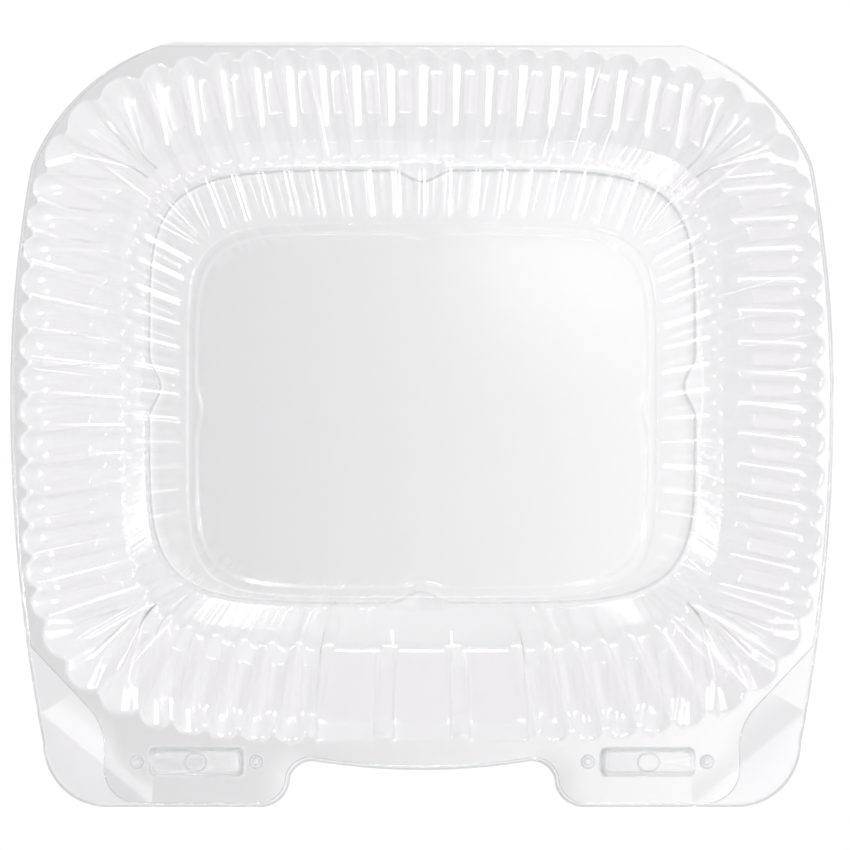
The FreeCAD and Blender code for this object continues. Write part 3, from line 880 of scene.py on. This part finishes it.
def clear_sheet(name, tint):
    """Clear glossy sheet: see-through face on, and more mirror-like at a glancing angle, where a grey tint that is
    partly painted shade also darkens it.
    """
    if name in bpy.data.materials:
        return bpy.data.materials[name]
    look = finish()
    material = bpy.data.materials.new(name)
    nodes = Nodes(material)
    along = nodes.add("ShaderNodeUVMap", {"uv_map": "along"})
    stretched = nodes.add("ShaderNodeVectorMath", {"operation": "MULTIPLY"}, {0: along, 1: WISP_COUNT})
    noise = {"Vector": stretched, "Scale": 1.0, "Detail": 0.0}
    drawn = nodes.add("ShaderNodeTexNoise", {"noise_dimensions": "2D"}, noise)
    wisps = (drawn * WISP_CONTRAST - WISP_CUT).clamped()
    bump = {"Height": wisps, "Strength": WISP_STRENGTH, "Distance": WISP_DEPTH}
    facing = nodes.add("ShaderNodeLayerWeight", None, {"Blend": 0.5}, "Facing")
    gloss = {
        "Base Color": (1.0, 1.0, 1.0, 1.0),
        "Metallic": 1.0,
        "Roughness": look.roughness,
        "Normal": nodes.add("ShaderNodeBump", None, bump),
    }
    clear = nodes.add("ShaderNodeBsdfTransparent", None, {"Color": opaque(tint)})
    # Grey at a glancing angle: painted shade, besides the longer path through the sheet
    grey = nodes.add("ShaderNodeBsdfTransparent", None, {"Color": opaque(look.glancing_tint_and_shade)})
    through = nodes.add("ShaderNodeMixShader", None, {0: facing**GREY_POWER, 1: clear, 2: grey})
    mirror_part = FACE_ON_MIRROR + (1.0 - FACE_ON_MIRROR) * facing**MIRROR_POWER
    mirror = nodes.add("ShaderNodeBsdfPrincipled", None, gloss)
    surface = nodes.add("ShaderNodeMixShader", None, {0: mirror_part, 1: through, 2: mirror})
    nodes.add("ShaderNodeOutputMaterial", None, {"Surface": surface})
    return material


def matte(name, rgb):
    """Dull paint with an even colour and a faint grain in its gloss."""
    material = bpy.data.materials.new(name)
    nodes = Nodes(material)
    place = nodes.add("ShaderNodeTexCoord", None, None, "Object")
    grain = nodes.add("ShaderNodeTexNoise", None, {"Vector": place, "Scale": 3.0, "Detail": 1.0})
    paint = {"Base Color": opaque(rgb), "Roughness": 0.85 + 0.1 * grain, "Specular IOR Level": 0.1}
    shader = nodes.add("ShaderNodeBsdfPrincipled", None, paint)
    nodes.add("ShaderNodeOutputMaterial", None, {"Surface": shader})
    return material


class PACK_OT_tray(bpy.types.Operator):
    """Build the fluted tray with its flange, tabs and catches"""

    bl_idname = "pack.tray"
    bl_label = "Tray"

    def execute(self, context):
        size = sizes()
        top = size.tray_flange
        lower = {"narrow": 0.1, "plain": True}
        floor = {"deeper": 0.6 * MM, "notch": size.floor_notch}
        levels = [
            Level(0.0, top - size.wall, "rim", flutes=size.rim_flutes, soft=1.6 * MM),
            Level(26.8 * MM, top - 16.5 * MM, "ledge", flutes=size.ledge_flutes, narrow=0.1, soft=1.9 * MM),
            Level(28.4 * MM, top - 20.5 * MM, "ledge", flutes=size.lower_flutes, soft=1.9 * MM, **lower),
            Level(41.6 * MM, 2.6 * MM, "heel", fade=size.tray_flute_end, soft=1.3 * MM, deeper=0.4 * MM, **lower),
            Level(43.0 * MM, 0.0, "foot", soft=0.7 * MM, deeper=0.6 * MM),
            Level(45.6 * MM, 0.0, "floor", soft=0.3 * MM, **floor),
            Level(46.8 * MM, 1.5 * MM, "floor", soft=0.3 * MM, **floor),
            Level(49.0 * MM, 1.5 * MM, "floor", **floor),
        ]
        stages = [(0.9 * MM, 0.0), (0.7 * MM, 0.02 * MM), (0.5 * MM, 0.08 * MM), (0.0, 0.4 * MM)]
        edges = edge_band(False, top - size.wall, stages)
        catch = Catch(-size.wall, top - size.wall, nub=False)
        make_shell("tray_shell", "base", levels, edges, catch, -1, "tray", finish().tray_tint_and_shade)
        return {"FINISHED"}


CATCH_CLEARANCE = 0.3 * MM
RING_FORWARD = 1.75 * MM


class PACK_OT_lid(bpy.types.Operator):
    """Build the fluted lid with its stacking ring, flange and catches"""

    bl_idname = "pack.lid"
    bl_label = "Lid"

    def execute(self, context):
        size = sizes()
        flange = size.lid_flange
        panel = size.lid_top - 1.6 * MM
        upper = {"narrow": size.narrowing}
        ring = {"notch": size.notch, "forward": RING_FORWARD}
        levels = [
            Level(0.0, flange + size.wall, "rim", flutes=size.rim_flutes, soft=1.6 * MM),
            Level(6.0 * MM, flange + 8.0 * MM, "brow", flutes=size.brow_flutes, soft=2.4 * MM, **upper),
            Level(27.2 * MM, flange + 21.0 * MM, "shoulder", fade=size.lid_flute_end, soft=0.4 * MM, **upper),
            Level(32.2 * MM, size.lid_top - 7.8 * MM, "ring", soft=0.3 * MM, forward=0.7 * MM),
            Level(38.7 * MM, size.lid_top - 1.1 * MM, "ring", soft=0.3 * MM, forward=1.6 * MM),
            Level(39.8 * MM, size.lid_top, "ring", soft=0.5 * MM, **ring),
            Level(40.9 * MM, size.lid_top, "ring", soft=0.3 * MM, **ring),
            Level(41.3 * MM, panel, "ring", soft=0.35 * MM, **ring),
            Level(43.4 * MM, panel, "ring", **ring),
        ]
        stages = [(0.3 * MM, 0.0), (0.2 * MM, 0.02 * MM), (0.12 * MM, 0.05 * MM), (0.0, 0.18 * MM)]
        edges = edge_band(True, flange + size.wall, stages)
        catch = Catch(CATCH_CLEARANCE + size.wall, flange + size.wall, nub=True)
        make_shell("lid_shell", "lid", levels, edges, catch, 1, "lid", finish().clear_tint)
        return {"FINISHED"}


# Faces along and round the folding edge, and the share of its length where it starts to tuck in
FOLD_COLUMNS = 100
FOLD_STEPS = 12
FOLD_END = 0.9


class PACK_OT_fold(bpy.types.Operator):
    """Build the folding edge that joins the two flanges at the back"""

    bl_idname = "pack.fold"
    bl_label = "Folding edge"

    def execute(self, context):
        size = sizes()
        lid_skin = size.lid_flange + size.wall
        tray_skin = size.tray_flange - size.wall
        radius = 0.5 * (lid_skin - tray_skin)
        line = size.rim_centre + size.rim_half_depth + FLANGE["back_margin"]
        profile = [(line - size.hinge_set_back, lid_skin)]
        for step in range(FOLD_STEPS + 1):
            turn = math.pi * (0.5 - step / FOLD_STEPS)
            profile.append((line + radius * math.cos(turn), 0.5 * (lid_skin + tray_skin) + radius * math.sin(turn)))
        profile.append((line - size.hinge_set_back, tray_skin))
        bm = bmesh.new()
        grid = bmesh.ops.create_grid(bm, x_segments=FOLD_COLUMNS, y_segments=len(profile) - 1, size=1.0)
        for vert in grid["verts"]:
            row = round((vert.co.y + 1.0) / 2.0 * (len(profile) - 1))
            y, z = profile[row]
            past = max(0.0, (abs(vert.co.x) - FOLD_END) / (1.0 - FOLD_END))
            tuck = (y - profile[0][0]) * (1.0 - math.sqrt(1.0 - past * past))
            vert.co = Vector((vert.co.x * size.hinge_half_length, y - tuck, z))
        bmesh.ops.recalc_face_normals(bm, faces=bm.faces[:])
        back_face = max(bm.faces, key=lambda face: face.calc_center_median().y)
        if back_face.normal.y < 0:
            bmesh.ops.reverse_faces(bm, faces=bm.faces[:])
        fold = sheet_piece("folding_edge", bm, [clear_sheet("clear sheet", finish().clear_tint)])
        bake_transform(fold)
        return {"FINISHED"}


def area_light(name, place, aim_height, width, depth, power):
    """A soft rectangular lamp that faces a point over the middle of the floor."""
    data = bpy.data.lights.new(name, "AREA")
    data.shape = "RECTANGLE"
    data.size = width
    data.size_y = depth
    data.energy = power
    light = bpy.data.objects.new(name, data)
    light.location = place
    aim = Vector((0, 0, aim_height))
    light.rotation_euler = (aim - Vector(place)).to_track_quat("-Z", "Y").to_euler()
    bpy.context.scene.collection.objects.link(light)
    return light


FLOOR_GAP = 0.3 * MM
FLOOR_RADIUS = 4.0
CEILING_COLOUR = (0.98, 1.0, 1.0, 1.0)
SIDES_COLOUR = (1.0, 0.92, 0.96, 1.0)
SIDES_STRENGTH = 0.88

# Each soft lamp: place, height of its aim over the floor's middle, width, depth and power in watts
LAMPS = {
    "back box": ((0.12, 1.45, 0.2), 0.04, 0.6, 0.2, 5.0),
    "back right lamp": ((0.68, 1.32, 0.08), 0.04, 0.2, 0.14, 2.6),
    "right box": ((1.5, 0.15, 0.36), 0.04, 0.2, 0.14, 1.8),
    "right lamp": ((1.5, -0.2, 0.1), 0.04, 0.3, 0.18, 5.5),
    "front right box": ((0.42, -1.42, 0.13), 0.04, 0.2, 0.2, 2.5),
    "front left lamp": ((-0.38, -1.44, 0.1), 0.04, 0.3, 0.18, 5.0),
    "left lamp": ((-1.5, -0.1, 0.1), 0.04, 0.3, 0.18, 5.5),
    "overhead box": ((0.1, 0.22, 1.0), 0.0, 0.13, 0.08, 0.03),
    "fill": ((0.0, 0.0, 1.8), 0.0, 2.0, 2.0, 12.5),
}


def studio_world():
    """White tent round the pack: bright and faintly pink near the horizon, and dark overhead on the left."""
    world = bpy.data.worlds.new("studio")
    nodes = Nodes(world)
    direction = nodes.add("ShaderNodeTexCoord", None, None, "Generated")
    parts = (nodes.add("ShaderNodeSeparateXYZ", None, {0: direction}, axis) for axis in "XYZ")
    to_right, to_back, height = parts
    glow = (3.4 * to_right + 0.49).clamped()
    hot_spot = (5.1 * to_right - 0.25).clamped()
    ceiling = (1.35 * glow + 0.6 * hot_spot) * height * height
    sides = (0.1 * to_right + 0.2 * to_back + SIDES_STRENGTH) * (1.0 - height * height)
    upper = nodes.add("ShaderNodeBackground", None, {"Color": CEILING_COLOUR, "Strength": ceiling})
    lower = nodes.add("ShaderNodeBackground", None, {"Color": SIDES_COLOUR, "Strength": sides})
    both = nodes.add("ShaderNodeAddShader", None, {0: upper, 1: lower})
    nodes.add("ShaderNodeOutputWorld", None, {"Surface": both})
    return world


# The photograph: its size and its scale at the flange in pixels for each millimetre,
# and how far the flange's middle lies from the picture's, in pixels
PHOTO_SIZE = 850
PHOTO_SCALE = 3.5
PHOTO_SHIFT = (3.0, 223.0)
CAMERA_HEIGHT = 600 * MM
CAMERA_FOOT = Vector((0, -64.0, 38.5)) * MM
SENSOR = 36.0


class PACK_OT_stage(bpy.types.Operator):
    """Build the pale floor, the soft lights and the camera"""

    bl_idname = "pack.stage"
    bl_label = "Stage"

    def execute(self, context):
        bm = bmesh.new()
        bmesh.ops.create_circle(bm, cap_ends=True, radius=FLOOR_RADIUS, segments=96)
        mesh = bpy.data.meshes.new("floor")
        bm.to_mesh(mesh)
        bm.free()
        mesh.transform(Matrix.Translation((0, 0, -FLOOR_GAP)))
        floor = bpy.data.objects.new("floor", mesh)
        floor.data.materials.append(matte("pale floor", finish().floor_colour))
        context.scene.collection.objects.link(floor)
        context.scene.world = studio_world()
        lights = {name: area_light(name, *lamp) for name, lamp in LAMPS.items()}
        lights["fill"].visible_glossy = False
        data = bpy.data.cameras.new("camera")
        data.sensor_width = SENSOR
        data.lens = SENSOR * CAMERA_HEIGHT / (PHOTO_SIZE / PHOTO_SCALE * MM)
        data.shift_x, data.shift_y = (pixels / PHOTO_SIZE for pixels in PHOTO_SHIFT)
        data.clip_start = 0.01
        camera = bpy.data.objects.new("camera", data)
        camera.location = CAMERA_FOOT + Vector((0, 0, CAMERA_HEIGHT))
        context.scene.collection.objects.link(camera)
        context.scene.camera = camera
        context.scene.view_settings.view_transform = "Standard"
        return {"FINISHED"}


class PACK_PT_panel(bpy.types.Panel):
    """Lists the steps that build the pack"""

    bl_idname = "PACK_PT_panel"
    bl_label = "Clamshell Pack"
    bl_space_type = "VIEW_3D"
    bl_region_type = "UI"
    bl_category = "Clamshell Pack"

    def draw(self, context):
        layout = self.layout
        for operator in OPERATORS:
            layout.operator(operator.bl_idname)
        for group in (context.scene.pack_sizes, context.scene.pack_finish):
            column = layout.column()
            for name in group.__annotations__:
                column.prop(group, name)


OPERATORS = (PACK_OT_tray, PACK_OT_lid, PACK_OT_fold, PACK_OT_stage)
CLASSES = (PackSizes, PackFinish) + OPERATORS + (PACK_PT_panel,)


def register():
    for item in CLASSES:
        bpy.utils.register_class(item)
    bpy.types.Scene.pack_sizes = bpy.props.PointerProperty(type=PackSizes)
    bpy.types.Scene.pack_finish = bpy.props.PointerProperty(type=PackFinish)


def unregister():
    del bpy.types.Scene.pack_sizes
    del bpy.types.Scene.pack_finish
    for item in reversed(CLASSES):
        bpy.utils.unregister_class(item)


def main():
    register()
    bpy.ops.pack.tray()
    bpy.ops.pack.lid()
    bpy.ops.pack.fold()
    bpy.ops.pack.stage()


if __name__ == "__main__":
    main()
